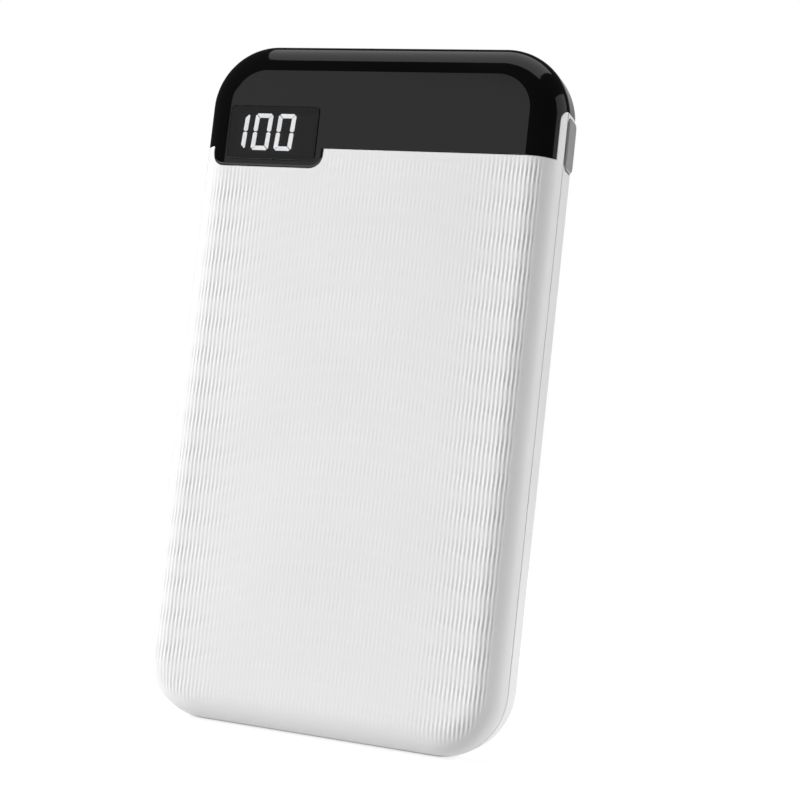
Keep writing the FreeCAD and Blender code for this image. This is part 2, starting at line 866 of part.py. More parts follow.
def make_button():
    """Key, retaining flange and stem in one moulding."""
    body = new_body("power_button")
    key = new_sketch(body, "key_outline", "YZ_Plane", "sizes.flange_face - sizes.flange_thick")
    half = "(sizes.parting - sizes.button_gap)"
    draw_rounded(
        key,
        f"-{half}",
        half,
        "sizes.button_bottom",
        "sizes.button_bottom + sizes.button_height",
        "sizes.button_round - sizes.button_gap",
    )
    reach = f"{SIDE_X} + sizes.button_proud - sizes.flange_face + sizes.flange_thick"
    add_pad(body, "key", key, reach)
    face = number(f"{SIDE_X} + sizes.button_proud")
    round_edges(body, "key_rim", "sizes.button_rim", lambda edge: lies_at(edge, x=face))
    flange = new_sketch(body, "flange_outline", "YZ_Plane", "sizes.flange_face - sizes.flange_thick")
    draw_rectangle(
        flange,
        f"-{half} - sizes.flange_reach",
        f"{half} + sizes.flange_reach",
        "sizes.button_bottom - sizes.flange_reach",
        "sizes.button_bottom + sizes.button_height + sizes.flange_reach",
    )
    add_pad(body, "flange", flange, "sizes.flange_thick")
    stem = new_sketch(body, "stem_outline", "YZ_Plane", "sizes.flange_face - sizes.flange_thick")
    draw_rectangle(
        stem,
        "-sizes.stem_width / 2",
        "sizes.stem_width / 2",
        f"{BUTTON_MIDDLE} - sizes.stem_height / 2",
        f"{BUTTON_MIDDLE} + sizes.stem_height / 2",
    )
    add_pad(body, "stem", stem, "sizes.stem_length", reverse=True)
    finish_piece(body, "power_button")


def make_switch():
    """Side-push switch: its plunger slides in a pocket of the body, clear of its walls."""
    tip = "sizes.flange_face - sizes.flange_thick - sizes.stem_length - sizes.touch_gap"
    middle_y = "sizes.board_face - sizes.switch_high / 2"
    plunger = rounded_box(
        "button_switch_plunger_solid",
        ("sizes.plunger_length", "sizes.plunger_wide", "sizes.plunger_tall"),
        (
            f"{tip} - sizes.plunger_length",
            f"{middle_y} - sizes.plunger_wide / 2",
            f"{BUTTON_MIDDLE} - sizes.plunger_tall / 2",
        ),
        "sizes.plunger_round",
        lambda edge: lies_at(edge, x=number(tip)),
    )
    finish_piece(plunger, "button_switch_plunger")
    mouth = f"{tip} - sizes.plunger_length + sizes.plunger_hidden"
    block = new_box(
        "switch_block",
        ("sizes.switch_deep", "sizes.switch_high", "sizes.switch_tall"),
        (
            f"{mouth} - sizes.switch_deep",
            "sizes.board_face - sizes.switch_high",
            f"{BUTTON_MIDDLE} - sizes.switch_tall / 2",
        ),
    )
    well_deep = "sizes.plunger_hidden + sizes.button_travel + 2 * sizes.plunger_fit"
    well = new_box(
        "switch_well",
        (
            f"{well_deep} + sizes.wall",
            "sizes.plunger_wide + 2 * sizes.plunger_fit",
            "sizes.plunger_tall + 2 * sizes.plunger_fit",
        ),
        (
            f"{mouth} - ({well_deep})",
            f"{middle_y} - sizes.plunger_wide / 2 - sizes.plunger_fit",
            f"{BUTTON_MIDDLE} - sizes.plunger_tall / 2 - sizes.plunger_fit",
        ),
    )
    finish_piece(take_away("button_switch_body_solid", block, well), "button_switch_body")


# ---------------------------------------------------------------- sockets


def make_socket(label, place, kind):
    """One socket: a formed shell, a moulded insert with its tongue, and its contacts."""
    wide, high, deep = f"sizes.{kind}_wide", f"sizes.{kind}_high", f"sizes.{kind}_deep"
    left = f"{place} - {wide} / 2"
    front = f"sizes.board_face - {high}"
    foot = f"sizes.socket_top - {deep}"
    metal = "sizes.sheet_metal"
    bend = f"sizes.{kind}_bend"
    body = new_body(label + "_shell")
    outer = new_sketch(body, label + "_outer", "XY_Plane", foot)
    draw_rounded(outer, left, f"{left} + {wide}", front, "sizes.board_face", bend)
    add_pad(body, label + "_tube", outer, deep)
    inner = new_sketch(body, label + "_inner", "XY_Plane", foot)
    draw_rounded(
        inner,
        f"{left} + {metal}",
        f"{left} + {wide} - {metal}",
        f"{front} + {metal}",
        f"sizes.board_face - {metal}",
        f"{bend} - {metal} / 2",
    )
    add_pocket(body, label + "_hollow", inner, deep, reverse=True)
    finish_piece(body, label + "_shell")

    fit = "sizes.socket_fit"
    inset = f"({bend} + {metal} / 2 + {fit})"
    block = new_box(
        label + "_block",
        (
            f"{wide} - 2 * {inset}",
            f"{high} - 2 * {metal} - 2 * {fit}",
            "sizes.insert_deep",
        ),
        (f"{left} + {inset}", f"{front} + {metal} + {fit}", f"{foot} + {fit}"),
    )
    tongue_wide = f"sizes.{kind}_tongue_wide"
    tongue_thick = f"sizes.{kind}_tongue"
    tongue_front = f"sizes.board_face - {high} / 2 - {tongue_thick} / 2 + sizes.{kind}_tongue_shift"
    tongue_long = f"{deep} - sizes.tongue_recess - {fit}"
    tongue = new_box(
        label + "_tongue",
        (tongue_wide, tongue_thick, tongue_long),
        (f"{place} - {tongue_wide} / 2", tongue_front, f"{foot} + {fit}"),
    )
    finish_piece(join(label + "_insert_solid", [block, tongue]), label + "_insert")

    count = int(number(f"sizes.{kind}_contacts"))
    pitch = f"sizes.{kind}_pitch"
    strip = f"sizes.{kind}_strip"
    contacts = []
    for step in range(count):
        contacts.append(
            new_box(
                f"{label}_contact_{step + 1}",
                (strip, "sizes.contact_thick", f"{tongue_long} - sizes.insert_deep - {fit}"),
                (
                    f"{place} + ({step} - {(count - 1) / 2}) * {pitch} - {strip} / 2",
                    f"{tongue_front} - sizes.contact_thick",
                    f"{foot} + sizes.insert_deep + {fit}",
                ),
            )
        )
    finish_piece(group(label + "_contacts_group", contacts), label + "_contacts")


# ---------------------------------------------------------------- boards and their parts


def make_main_board():
    body = new_body("main_board")
    outline = new_sketch(body, "main_board_outline", "XZ_Plane", "-sizes.board_face")
    half = "sizes.board_width / 2"
    shoulder = f"{BOARD_TOP} - sizes.board_corner"
    draw_polygon(
        outline,
        [
            (f"-{half}", "sizes.board_bottom"),
            (half, "sizes.board_bottom"),
            (half, shoulder),
            (f"{half} - sizes.board_corner", BOARD_TOP),
            (f"-{half} + sizes.board_corner", BOARD_TOP),
            (f"-{half}", shoulder),
        ],
    )
    add_pad(body, "main_board_plate", outline, "sizes.board_thick", reverse=True)
    for label, across, along in BOARD_SCREWS:
        hole = new_sketch(body, "board_hole_outline_" + label, "XZ_Plane", "-sizes.board_face")
        draw_circle(hole, across, along, "sizes.pilot_radius + sizes.joint_gap")
        add_pocket(body, "board_hole_" + label, hole, "2 * sizes.board_thick")
    finish_piece(body, "main_board")


def make_board_screws():
    """Shank in the board and boss, and a pan head on the board's face."""
    screws = []
    for label, across, along in BOARD_SCREWS:
        shank = new_rod(
            "screw_shank_" + label,
            "sizes.screw_radius",
            "sizes.screw_length",
            (across, "sizes.board_face", along),
            "y",
        )
        head = new_rod(
            "screw_head_" + label,
            "sizes.head_radius",
            "sizes.head_thick",
            (across, "sizes.board_face - sizes.head_thick", along),
            "y",
        )
        slot = new_box(
            "screw_slot_" + label,
            ("2 * sizes.head_radius", "sizes.head_thick", "sizes.joint_gap * 4"),
            (
                f"{across} - sizes.head_radius",
                "sizes.board_face - 1.5 * sizes.head_thick",
                f"{along} - sizes.joint_gap * 2",
            ),
        )
        screws.append(take_away("screw_" + label, join("screw_blank_" + label, [shank, head]), slot))
    finish_piece(group("board_screws_group", screws), "board_screws")


def on_board(name, kind, place):
    """A block of that kind's size that stands on the board's front face, with its middle at place."""
    across, along = place
    wide, high, tall = (f"sizes.{kind}_{way}" for way in ("wide", "high", "tall"))
    corner = (f"{across} - {wide} / 2", f"sizes.board_face - {high}", f"{along} - {tall} / 2")
    return new_box(name, (wide, high, tall), corner)


def make_board_parts():
    core = on_board("inductor_core", "inductor", INDUCTOR_PLACE)
    doc.recompute()
    coil = doc.addObject("Part::Chamfer", "inductor_solid")
    coil.Base = core
    cut = number("sizes.inductor_chamfer")
    upright = [i for i, edge in enumerate(core.Shape.Edges, start=1) if is_along(edge, "y")]
    coil.Edges = [(i, cut, cut) for i in upright]
    finish_piece(coil, "power_inductor")
    finish_piece(on_board("charge_controller_solid", "charge_chip", CHARGE_CHIP_PLACE), "charge_controller")
    finish_piece(on_board("boost_controller_solid", "boost_chip", BOOST_CHIP_PLACE), "boost_controller")
    for label, kind, places in (
        ("bulk_capacitors", "bulk", BULK_PLACES),
        ("ceramic_capacitors", "ceramic", CERAMIC_PLACES),
        ("chip_resistors", "resistor", RESISTOR_PLACES),
    ):
        blocks = [on_board(f"{kind}_{i}", kind, place) for i, place in enumerate(places)]
        finish_piece(group(label + "_group", blocks), label)


# ---------------------------------------------------------------- battery


def make_battery():
    left = "-sizes.cell_width / 2"
    gap = "sizes.tape_thick / 2"
    for label, front in (("front", f"-{gap} - sizes.cell_thick"), ("back", gap)):
        cell = rounded_box(
            f"battery_cell_{label}_solid",
            ("sizes.cell_width", "sizes.cell_thick", "sizes.cell_height"),
            (left, front, "sizes.cell_bottom"),
            "sizes.cell_round",
            lambda edge: not is_along(edge, "y"),
        )
        finish_piece(cell, f"battery_cell_{label}")
    tape = new_box(
        "cell_tape_solid",
        ("sizes.pad_width", "sizes.tape_thick", "sizes.pad_height"),
        ("-sizes.pad_width / 2", f"-{gap}", "sizes.cell_bottom + sizes.pad_lift"),
    )
    finish_piece(tape, "cell_tape")
    face = f"{gap} + sizes.cell_thick"
    for label, front in (("front", f"-({face}) - sizes.pad_thick"), ("back", face)):
        pad = new_box(
            f"foam_pad_{label}_solid",
            ("sizes.pad_width", "sizes.pad_thick", "sizes.pad_height"),
            ("-sizes.pad_width / 2", front, "sizes.cell_bottom + sizes.pad_lift"),
        )
        finish_piece(pad, f"foam_pad_{label}")
    tabs = []
    for step, side in enumerate((-1, 1)):
        for lane, level in enumerate((-1, 1)):
            middle = f"({gap} + sizes.cell_thick / 2)"
            tabs.append(
                new_box(
                    f"cell_tab_{step}_{lane}",
                    ("sizes.tab_wide", "sizes.tab_metal", "sizes.tab_rise"),
                    (
                        f"{side} * sizes.tab_apart - sizes.tab_wide / 2",
                        f"{level} * {middle} - sizes.tab_metal / 2",
                        CELL_TOP,
                    ),
                )
            )
    finish_piece(group("cell_tabs_group", tabs), "cell_tabs")
    guard_bottom = f"{CELL_TOP} + sizes.tab_rise"
    guard = new_box(
        "protection_board_solid",
        ("sizes.guard_width", "sizes.guard_depth", "sizes.guard_thick"),
        ("-sizes.guard_width / 2", "-sizes.guard_depth / 2", guard_bottom),
    )
    finish_piece(guard, "protection_board")
    paper = new_box(
        "insulating_sheet_solid",
        ("sizes.paper_width", "sizes.guard_depth", "sizes.paper_thick"),
        ("-sizes.guard_width / 2", "-sizes.guard_depth / 2", f"{guard_bottom} + sizes.guard_thick"),
    )
    finish_piece(paper, "insulating_sheet")
    for label, place in (("red", "sizes.red_lead_place"), ("black", "sizes.black_lead_place")):
        make_lead(f"battery_lead_{label}", place, f"{guard_bottom} + sizes.guard_thick")


def make_lead(label, place, start):
    """An insulated lead: up from the protection board, then one bend back to the main board."""
    body = new_body(label)
    route = new_sketch(body, label + "_route", "YZ_Plane", place)
    first = FreeCAD.Vector(number("sizes.lead_start"), number(start), 0)
    corner = FreeCAD.Vector(first.x, first.y + number("sizes.lead_rise"), 0)
    last = FreeCAD.Vector(number("sizes.board_face"), corner.y, 0)
    bend = number("sizes.lead_bend")
    centre = FreeCAD.Vector(corner.x + bend, corner.y - bend, 0)
    turn = Part.ArcOfCircle(Part.Circle(centre, FreeCAD.Vector(0, 0, 1), bend), math.pi / 2, math.pi)
    route.addGeometry(Part.LineSegment(first, turn.EndPoint))
    route.addGeometry(turn)
    route.addGeometry(Part.LineSegment(turn.StartPoint, last))
    route.addConstraint(Sketcher.Constraint("Tangent", 0, 2, 1, 2))
    route.addConstraint(Sketcher.Constraint("Tangent", 1, 1, 2, 1))
    route.addConstraint(Sketcher.Constraint("Vertical", 0))
    route.addConstraint(Sketcher.Constraint("Horizontal", 2))
    bind(route, Sketcher.Constraint("DistanceX", -1, 1, 0, 1, first.x), "sizes.lead_start")
    bind(route, Sketcher.Constraint("DistanceY", -1, 1, 0, 1, first.y), start)
    bind(route, Sketcher.Constraint("DistanceY", -1, 1, 2, 2, last.y), f"{start} + sizes.lead_rise")
    bind(route, Sketcher.Constraint("DistanceX", -1, 1, 2, 2, last.x), "sizes.board_face")
    bind(route, Sketcher.Constraint("Radius", 1, bend), "sizes.lead_bend")
    section = new_sketch(body, label + "_section", "XY_Plane", start)
    draw_circle(section, place, "sizes.lead_start", "sizes.lead_radius")
    doc.recompute()
    pipe = body.newObject("PartDesign::AdditivePipe", label + "_pipe")
    pipe.Profile = section
    pipe.Spine = route
    doc.recompute()
    length = sum(edge.Length for edge in route.Shape.Edges)
    expected = length * math.pi * number("sizes.lead_radius") ** 2
    volume = body.Shape.Volume
    print(f"{label}: length {length:.2f}, bend {bend:.2f}, volume {volume:.3f} of {expected:.3f}")
    finish_piece(body, label)


BOARD_SCREWS = [
    ("left", "-sizes.screw_side", "sizes.screw_low"),
    ("right", "sizes.screw_side", "sizes.screw_low"),
    ("middle", "0", "sizes.screw_low"),
]

# Sockets in the cap: name, middle across the bank, width, height above the board and depth.
SOCKETS = [
    ("usb_a_left", "-sizes.usb_a_place", "usb_a"),
    ("usb_a_right", "sizes.usb_a_place", "usb_a"),
    ("type_c", "-sizes.type_c_place", "type_c"),
    ("micro_usb", "sizes.micro_place", "micro"),
]

# Hooks of the cap: name, front (-1) or back (1) wall, and where each starts across the bank.
SNAP_HOOKS = [
    ("hook_front_middle", -1, "0"),
    ("hook_front_right", -1, "20"),
    ("hook_back_left", 1, "-24"),
    ("hook_back_right", 1, "14"),
]

# Middles of the board parts, across the bank and up it.
INDUCTOR_PLACE = (0.4, 113.2)
CHARGE_CHIP_PLACE = (-8.0, 110.0)
BOOST_CHIP_PLACE = (9.0, 108.6)
BULK_PLACES = [(-14.0, 103.6), (-9.4, 103.6), (8.6, 103.6), (13.4, 103.6)]
CERAMIC_ROW = [(-20.0 + 2.6 * step, 108.6) for step in range(4)]
CERAMIC_COLUMN = [(13.0, 107.6 + 1.7 * step) for step in range(3)]
CERAMIC_PLACES = CERAMIC_ROW + CERAMIC_COLUMN
RESISTOR_PLACES = [(-20.0 + 2.0 * step, 111.0) for step in range(5)]
RESISTOR_PLACES += [(4.4 + 1.8 * step, 113.4) for step in range(3)]


def check_document():
    """Stops before anything is written if an object has failed."""
    doc.recompute()
    for item in doc.Objects:
        if {"Invalid", "Error"} & set(item.State):
            raise RuntimeError(f"{item.Name} is {item.State}")
    for item in finished:
        if item.Shape.isNull() or not item.Shape.isValid() or not item.Shape.Solids:
            raise RuntimeError(f"{item.Label} has no valid solid")


make_front_cover()
make_back_cover()
make_top_cap()
make_window()
make_display()
make_button()
make_switch()
for label, place, kind in SOCKETS:
    make_socket(label, place, kind)
make_main_board()
make_board_screws()
make_board_parts()
make_battery()
check_document()

os.makedirs("parts", exist_ok=True)
for item in finished:
    item.Shape.exportStep(f"parts/{item.Label}.step")
print(f"wrote {len(finished)} parts")
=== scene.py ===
"""Looks of a slim power bank: ribbed white covers, a glossy black end cap with a lit charge display, and a side button.

Everything is in metres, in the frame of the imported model. The ribbed front cover is made here with Geometry Nodes and
stands for the plain one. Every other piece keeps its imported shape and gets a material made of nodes.
"""
import math
import bpy
from mathutils import Matrix, Vector


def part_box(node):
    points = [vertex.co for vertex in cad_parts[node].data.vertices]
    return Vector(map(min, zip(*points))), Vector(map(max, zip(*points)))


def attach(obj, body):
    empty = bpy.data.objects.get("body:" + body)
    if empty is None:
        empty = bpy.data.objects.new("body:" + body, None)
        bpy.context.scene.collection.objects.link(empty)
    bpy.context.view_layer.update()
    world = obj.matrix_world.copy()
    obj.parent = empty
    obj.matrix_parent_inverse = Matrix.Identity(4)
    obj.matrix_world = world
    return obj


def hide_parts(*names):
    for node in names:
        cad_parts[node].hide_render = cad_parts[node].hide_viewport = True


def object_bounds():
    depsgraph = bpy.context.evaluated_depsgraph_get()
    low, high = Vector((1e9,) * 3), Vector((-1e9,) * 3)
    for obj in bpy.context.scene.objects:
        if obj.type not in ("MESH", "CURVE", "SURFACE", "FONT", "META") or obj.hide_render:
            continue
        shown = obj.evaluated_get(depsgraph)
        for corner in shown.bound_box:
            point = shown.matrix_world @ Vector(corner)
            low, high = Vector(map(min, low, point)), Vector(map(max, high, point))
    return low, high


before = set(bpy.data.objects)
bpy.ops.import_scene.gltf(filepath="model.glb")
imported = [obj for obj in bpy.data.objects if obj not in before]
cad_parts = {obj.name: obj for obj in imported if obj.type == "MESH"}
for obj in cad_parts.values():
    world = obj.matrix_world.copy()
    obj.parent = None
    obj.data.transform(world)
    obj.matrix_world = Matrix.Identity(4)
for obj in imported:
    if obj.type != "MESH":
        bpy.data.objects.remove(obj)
packed_low, packed_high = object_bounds()
MM = 0.001

# ---------------------------------------------------------------- sizes of the front cover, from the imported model
DEPTH = 15.8 * MM
FRONT_FACE = -DEPTH / 2
HALF_WIDTH = 35.0 * MM
CORNER_RADIUS = 12.5 * MM
EDGE_ROUND = 6.0 * MM
WALL = 1.6 * MM
COVER_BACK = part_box("front_cover")[1].y
TONGUE_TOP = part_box("front_cover")[1].z
TONGUE_INNER = 31.8 * MM
TONGUE_FRONT = -5.0 * MM
TONGUE_ROUND = 2.0 * MM
COVER_TOP = 107.3 * MM
NOTCH_LEFT = -32.1 * MM
NOTCH_RIGHT = -9.4 * MM
NOTCH_BOTTOM = 103.5 * MM
NOTCH_ROUND = 2.7 * MM
CRISP_ANGLE = math.radians(48)   # sharper bends than this are shaded as edges
FAR = 200 * MM               # a distance well past every piece

# ---------------------------------------------------------------- the ribs
RIB_ZONE = 3.5 * MM          # how far the ribs run out over the rounded edge
RIBS_PER_HALF = 42
STEPS_PER_RIB = 6
BAND_STEPS = 18              # columns of the smooth band beside the ribs
ROW_STEP = 0.72 * MM
RIB_DEPTH = 0.20 * MM        # at the sides
RIB_FADE = 0.7 * MM
CALM_SHARE = 0.12            # what is left of the depth in the calm middle
CALM_HALF = 17.0 * MM        # half the width of the calm middle
BEAD_LENGTH = 6.13 * MM      # the ribs swell and thin again over this length
BEAD_SHARE = 0.34
RIB_SWING = 0.03 * MM
LIP = 0.5 * MM               # plain lip left along the cap and the notch
PARTING_ROUND = 0.25 * MM    # radius of the rim where the two covers meet
CLOSE_ROWS = 12              # rows above the lower end that stand closer together
SWING_STOP = 1.4 * MM        # the ribs come to rest over this width inside their zone's edge
ZONE_HAIR = 0.02 * MM        # the zone ends this far past its last groove
SKIN_SPARE = 2 * MM          # the skin is made this much too tall, then trimmed

# ---------------------------------------------------------------- the room inside the front cover
ROOM_COLUMNS = 73
ROOM_ROWS = 49
ROOM_CROWDING = 1.6          # above 1, the rows crowd towards the lower end
ROOM_BACK = 2 * MM           # how far the room runs out behind the middle of the bank
ROOM_SPARE = 10 * MM         # how far it runs out above the skin


# ================================================================ node helpers
class Wire:
    """The output of a node. Arithmetic on it adds Math nodes to the same tree."""

    def __init__(self, tree, socket):
        self.tree, self.socket = tree, socket

    def worked(self, operation, *values):
        return node(self.tree, "ShaderNodeMath", {"operation": operation}, dict(enumerate(values)))

    def __add__(self, other): return self.worked("ADD", self, other)
    def __radd__(self, other): return self.worked("ADD", other, self)
    def __sub__(self, other): return self.worked("SUBTRACT", self, other)
    def __rsub__(self, other): return self.worked("SUBTRACT", other, self)
    def __mul__(self, other): return self.worked("MULTIPLY", self, other)
    def __rmul__(self, other): return self.worked("MULTIPLY", other, self)
    def __truediv__(self, other): return self.worked("DIVIDE", self, other)
    def __rtruediv__(self, other): return self.worked("DIVIDE", other, self)
    def __pow__(self, other): return self.worked("POWER", self, other)
    def __lt__(self, other): return self.worked("LESS_THAN", self, other)
    def __gt__(self, other): return self.worked("GREATER_THAN", self, other)

    def size(self): return self.worked("ABSOLUTE", self)
    def root(self): return self.worked("SQRT", self)
    def sine(self): return self.worked("SINE", self)
    def cosine(self): return self.worked("COSINE", self)
    def sign(self): return self.worked("SIGN", self)
    def over(self, other): return self.worked("MAXIMUM", self, other)
    def under(self, other): return self.worked("MINIMUM", self, other)

    def ramp(self, start, end):
        """Rises smoothly from 0 at start to 1 at end."""
        return node(self.tree, "ShaderNodeMapRange", {"interpolation_type": "SMOOTHSTEP"},
                    {"Value": self, "From Min": start, "From Max": end})


def plug_in(tree, socket, value):
    """Links a wire to an input, or sets the input's own value."""
    if isinstance(value, Wire):
        tree.links.new(value.socket, socket)
    else:
        socket.default_value = value


def node(tree, kind, settings=None, sockets=None, out=0):
    """Adds one node: its settings first, then the values or wires of its inputs. Returns the wire of one output,
    or a list of wires when out is a list."""
    made = tree.nodes.new(kind)
    for name, value in (settings or {}).items():
        setattr(made, name, value)
    for key, value in (sockets or {}).items():
        plug_in(tree, made.inputs[key], value)
    if isinstance(out, (list, tuple)):
        return [Wire(tree, made.outputs[name]) for name in out]
    return Wire(tree, made.outputs[out]) if made.outputs else None


def mix_colour(tree, share, first, second):
    """A colour between two, by a number or a wire."""
    made = tree.nodes.new("ShaderNodeMix")
    made.data_type = "RGBA"
    inputs = {i.identifier: i for i in made.inputs}
    for name, value in (("Factor_Float", share), ("A_Color", first), ("B_Color", second)):
        plug_in(tree, inputs[name], value)
    return Wire(tree, next(o for o in made.outputs if o.identifier == "Result_Color"))


# ================================================================ camera, lights and floor
def place_camera():
    """Stands the camera low at the front right, looking up a little and rolled a few degrees."""
    eye = Vector((99.149, -267.764, 43.237)) * MM
    ahead = Vector((-0.32111, 0.94457, 0.06840)).normalized()
    overhead = Vector((-0.08229, -0.09978, 0.99160))
    right = ahead.cross(overhead).normalized()
    data = bpy.data.cameras.new("studio_camera")
    data.sensor_width, data.lens = 36.0, 69.2
    data.clip_start, data.clip_end = 0.01, 50.0
    camera = bpy.data.objects.new("studio_camera", data)
    turned = Matrix((right, right.cross(ahead), -ahead)).transposed().to_4x4()
    camera.matrix_world = Matrix.Translation(eye) @ turned
    bpy.context.scene.collection.objects.link(camera)
    bpy.context.scene.camera = camera


def softbox(name, azimuth, elevation, distance, wide, tall, strength, middle, lights=True, mirrored=False):
    """A rectangular lamp that faces the middle of the bank. Azimuth 0 is in front and 90 at the right.

    strength is the brightness that it gives a white card which faces it at the middle. A lamp may light surfaces
    without being mirrored in them, or the other way round, as with polarised lamps and plain reflector cards.
    """
    turn, lift = math.radians(azimuth), math.radians(elevation)
    away = Vector((math.sin(turn) * math.cos(lift), -math.cos(turn) * math.cos(lift), math.sin(lift)))
    data = bpy.data.lights.new(name, "AREA")
    data.shape, data.size, data.size_y = "RECTANGLE", wide, tall
    data.energy = strength * math.pi ** 2 * distance ** 2
    lamp = bpy.data.objects.new(name, data)
    lamp.location = middle + away * distance
    lamp.rotation_euler = away.to_track_quat("Z", "Y").to_euler()
    lamp.visible_diffuse, lamp.visible_glossy = lights, mirrored
    bpy.context.scene.collection.objects.link(lamp)


def card(name, azimuth, elevation, wide, tall, radiance, middle, distance=1.0, lights=False, mirrored=True):
    """A glowing card of known brightness, as a rule seen only in polished faces."""
    softbox(name, azimuth, elevation, distance, wide, tall, radiance * wide * tall / (math.pi * distance ** 2), middle,
            lights, mirrored)


def light_studio():
    """A room that is white to the eye, dim as light and dark in reflections, with soft boxes round the bank."""
    world = bpy.data.worlds.new("studio")
    world.use_nodes = True
    tree = world.node_tree
    tree.nodes.clear()
    seen, glossy = node(tree, "ShaderNodeLightPath", out=["Is Camera Ray", "Is Glossy Ray"])
    to_the_eye, in_polish, on_surfaces = 1.0, 0.03, 0.16
    strength = seen * to_the_eye + (1 - seen) * (glossy * in_polish + (1 - glossy) * on_surfaces)
    background = node(tree, "ShaderNodeBackground", None, {"Color": (1, 1, 1, 1), "Strength": strength})
    node(tree, "ShaderNodeOutputWorld", None, {"Surface": background})
    bpy.context.scene.world = world
    bpy.context.scene.view_settings.view_transform = "Standard"
    middle = (packed_low + packed_high) / 2
    for name, azimuth, elevation, distance, wide, tall, strength in (
            ("key_softbox", -50, 18, 1.2, 0.5, 0.5, 0.98),
            ("top_softbox", 10, 80, 1.0, 0.7, 0.5, 0.35),
            ("right_softbox", 112, 4, 0.9, 0.4, 0.7, 0.95),
            ("left_softbox", -105, 15, 1.0, 0.5, 0.7, 0.22),
            ("back_softbox", 205, 30, 1.2, 0.8, 0.8, 0.24)):
        softbox(name, azimuth, elevation, distance, wide, tall, strength, middle)
    card("floor_bounce", 0, -90, 0.9, 0.9, 0.48, middle, distance=middle.z - 0.5 * MM, lights=True, mirrored=False)
    for name, azimuth, elevation, wide, tall, radiance in (
            ("front_card", -23, 8.5, 0.43, 0.40, 0.48),
            ("top_card", 0, 88.5, 1.0, 1.13, 0.65),
            ("right_card", 108, 20, 0.85, 0.66, 0.42),
            ("back_card", 190, 20, 0.9, 0.5, 0.35)):
        card(name, azimuth, elevation, wide, tall, radiance, middle)


def lay_floor():
    """A pale, flat floor. Its own faint glow grows with the distance, so that its edge is lost in the white room."""
    data = bpy.data.meshes.new("floor")
    reach, level = 6.0, -0.05 * MM
    corners = [(-reach, -reach, level), (reach, -reach, level), (reach, reach, level), (-reach, reach, level)]
    data.from_pydata(corners, [], [(0, 1, 2, 3)])
    floor = bpy.data.objects.new("floor", data)
    bpy.context.scene.collection.objects.link(floor)
    paint = bpy.data.materials.new("pale_floor")
    paint.use_nodes = True
    tree = paint.node_tree
    tree.nodes.clear()
    place = node(tree, "ShaderNodeTexCoord", out="Object")
    grain = node(tree, "ShaderNodeTexNoise", None, {"Vector": place, "Scale": 6.0, "Detail": 3.0})
    shade = mix_colour(tree, grain, (0.34, 0.34, 0.34, 1), (0.36, 0.36, 0.36, 1))
    away = node(tree, "ShaderNodeVectorMath", {"operation": "LENGTH"}, {0: place}, "Value")
    near, far = 120 * MM, 500 * MM
    glow = mix_colour(tree, away.ramp(near, far), (0.76, 0.76, 0.76, 1), (1.0, 1.0, 1.0, 1))
    surface = node(tree, "ShaderNodeBsdfPrincipled", None, {
        "Base Color": shade, "Roughness": 0.9, "Specular IOR Level": 0.1,
        "Emission Color": glow, "Emission Strength": 1.0})
    node(tree, "ShaderNodeOutputMaterial", None, {"Surface": surface})
    data.materials.append(paint)
    floor.visible_diffuse = False


# ================================================================ materials
def finish(name, colour, roughness, mottle=0.03, patches=60.0, grain=0.0, grain_scale=2500.0, spread=0.05,
           constants=None, extra=None):
    """A moulded, cast or coated surface. Colour and roughness wander a little, and a fine grain stands on it.

    mottle is the share by which the colour wanders, patches how many patches there are in a metre, grain the grain's
    height in metres, and spread how far the roughness wanders. extra(tree, place, colour, height) may return a
    changed colour and height.
    """
    made = bpy.data.materials.new(name)
    made.use_nodes = True
    tree = made.node_tree
    tree.nodes.clear()
    place = node(tree, "ShaderNodeTexCoord", out="Object")
    cloud = node(tree, "ShaderNodeTexNoise", None, {"Vector": place, "Scale": patches, "Detail": 4.0})
    fine = node(tree, "ShaderNodeTexNoise", None, {"Vector": place, "Scale": grain_scale, "Detail": 2.0})
    dark = tuple(max(c * (1 - mottle), 0.0) for c in colour) + (1,)
    light = tuple(min(c * (1 + mottle), 1.0) for c in colour) + (1,)
    shade = mix_colour(tree, cloud.ramp(0.3, 0.7), dark, light)
    height = fine * grain
    if extra:
        shade, height = extra(tree, place, shade, height)
    bump = node(tree, "ShaderNodeBump", None, {"Height": height, "Distance": 1.0, "Strength": 1.0})
    surface = node(tree, "ShaderNodeBsdfPrincipled", None, {
        "Base Color": shade, "Roughness": roughness - spread + (cloud + fine) * spread, "Normal": bump,
        **(constants or {})})
    node(tree, "ShaderNodeOutputMaterial", None, {"Surface": surface})
    return made


def brushed(name, colour, roughness, along):
    """Bare or plated metal with fine draw lines along one axis."""
    stretch = [900.0, 900.0, 900.0]
    stretch[along] = 60.0

    def draw_lines(tree, place, shade, height):
        turned = node(tree, "ShaderNodeMapping", None, {"Vector": place, "Scale": stretch})
        lines = node(tree, "ShaderNodeTexNoise", None, {"Vector": turned, "Scale": 4.0, "Detail": 3.0})
        worn = mix_colour(tree, lines * 0.25, shade, (0.30, 0.30, 0.30, 1))
        return worn, height + lines * 0.000004
    return finish(name, colour, roughness, mottle=0.04, patches=120.0, spread=0.10, constants={"Metallic": 1.0},
                  extra=draw_lines)


